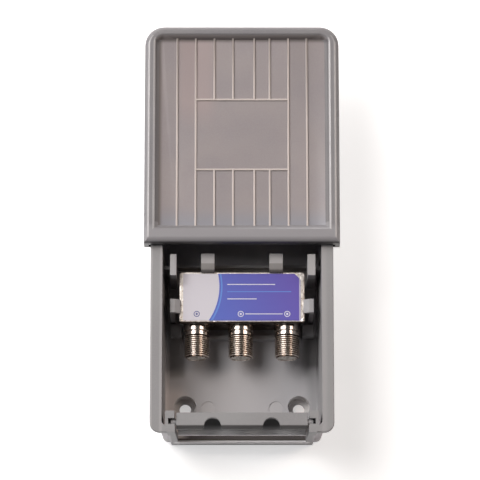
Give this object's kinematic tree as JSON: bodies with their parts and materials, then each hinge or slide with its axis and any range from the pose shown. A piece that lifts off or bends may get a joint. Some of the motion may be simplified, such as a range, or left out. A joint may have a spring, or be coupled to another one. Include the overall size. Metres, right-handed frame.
{
  "type": "satellite switch",
  "caption": "Metal satellite switch with threaded coaxial sockets in a grey outdoor housing with a ribbed sliding cover and a swinging cable flap.",
  "frame": {"origin": "centre of the footprint on the plane of the housing's back face, with the cover open as in the picture", "axes": "+Z out of the front, +Y towards the end where the cover opens, +X to the right seen from the front"},
  "size_m": [0.0734, 0.1564, 0.0354],
  "materials": {
    "housing": "grey moulded plastic, fine matt grain",
    "cover": "grey moulded plastic, fine matt grain",
    "flap": "grey moulded plastic, fine matt grain",
    "case": "bright nickel plate over a cast surface",
    "lid": "bright nickel plate, slightly uneven",
    "label": "printed foil, pale grey and violet blue",
    "port": "nickel plated turned metal",
    "insulator": "natural white dielectric",
    "contact": "gold flashed",
    "board": "green solder mask",
    "chip": "black moulded package",
    "capacitor_can": "bright can",
    "resonator": "ochre coating",
    "chip_capacitor": "matt",
    "chip_resistor": "dark glazed",
    "choke": "grey ferrite"
  },
  "bodies": {
    "housing": {"base_housing": "housing", "module_case": "case", "module_lid": "lid", "module_label": "label", "port_left": "port", "port_middle": "port", "port_right": "port", "insulator_left": "insulator", "insulator_middle": "insulator", "insulator_right": "insulator", "contact_left": "contact", "contact_middle": "contact", "contact_right": "contact", "circuit_board": "board", "control_chip": "chip", "voltage_regulator": "chip", "supply_capacitor": "capacitor_can", "ceramic_resonator": "resonator", "switch_diodes": "chip", "driver_transistors": "chip", "chip_capacitors": "chip_capacitor", "chip_resistors": "chip_resistor", "rf_chokes": "choke"},
    "cover": {"sliding_cover": "cover"},
    "flap": {"cable_flap": "flap"}
  },
  "joints": [
    {"name": "cover_slide", "type": "slide", "parent": "housing", "child": "cover", "axis": [0, 1, 0], "range_m": [-0.0715, 0]},
    {"name": "flap_hinge", "type": "hinge", "parent": "housing", "child": "flap", "pos_m": [0, -0.074, 0.0283], "axis": [-1, 0, 0], "range_deg": [0, 85]}
  ]
}
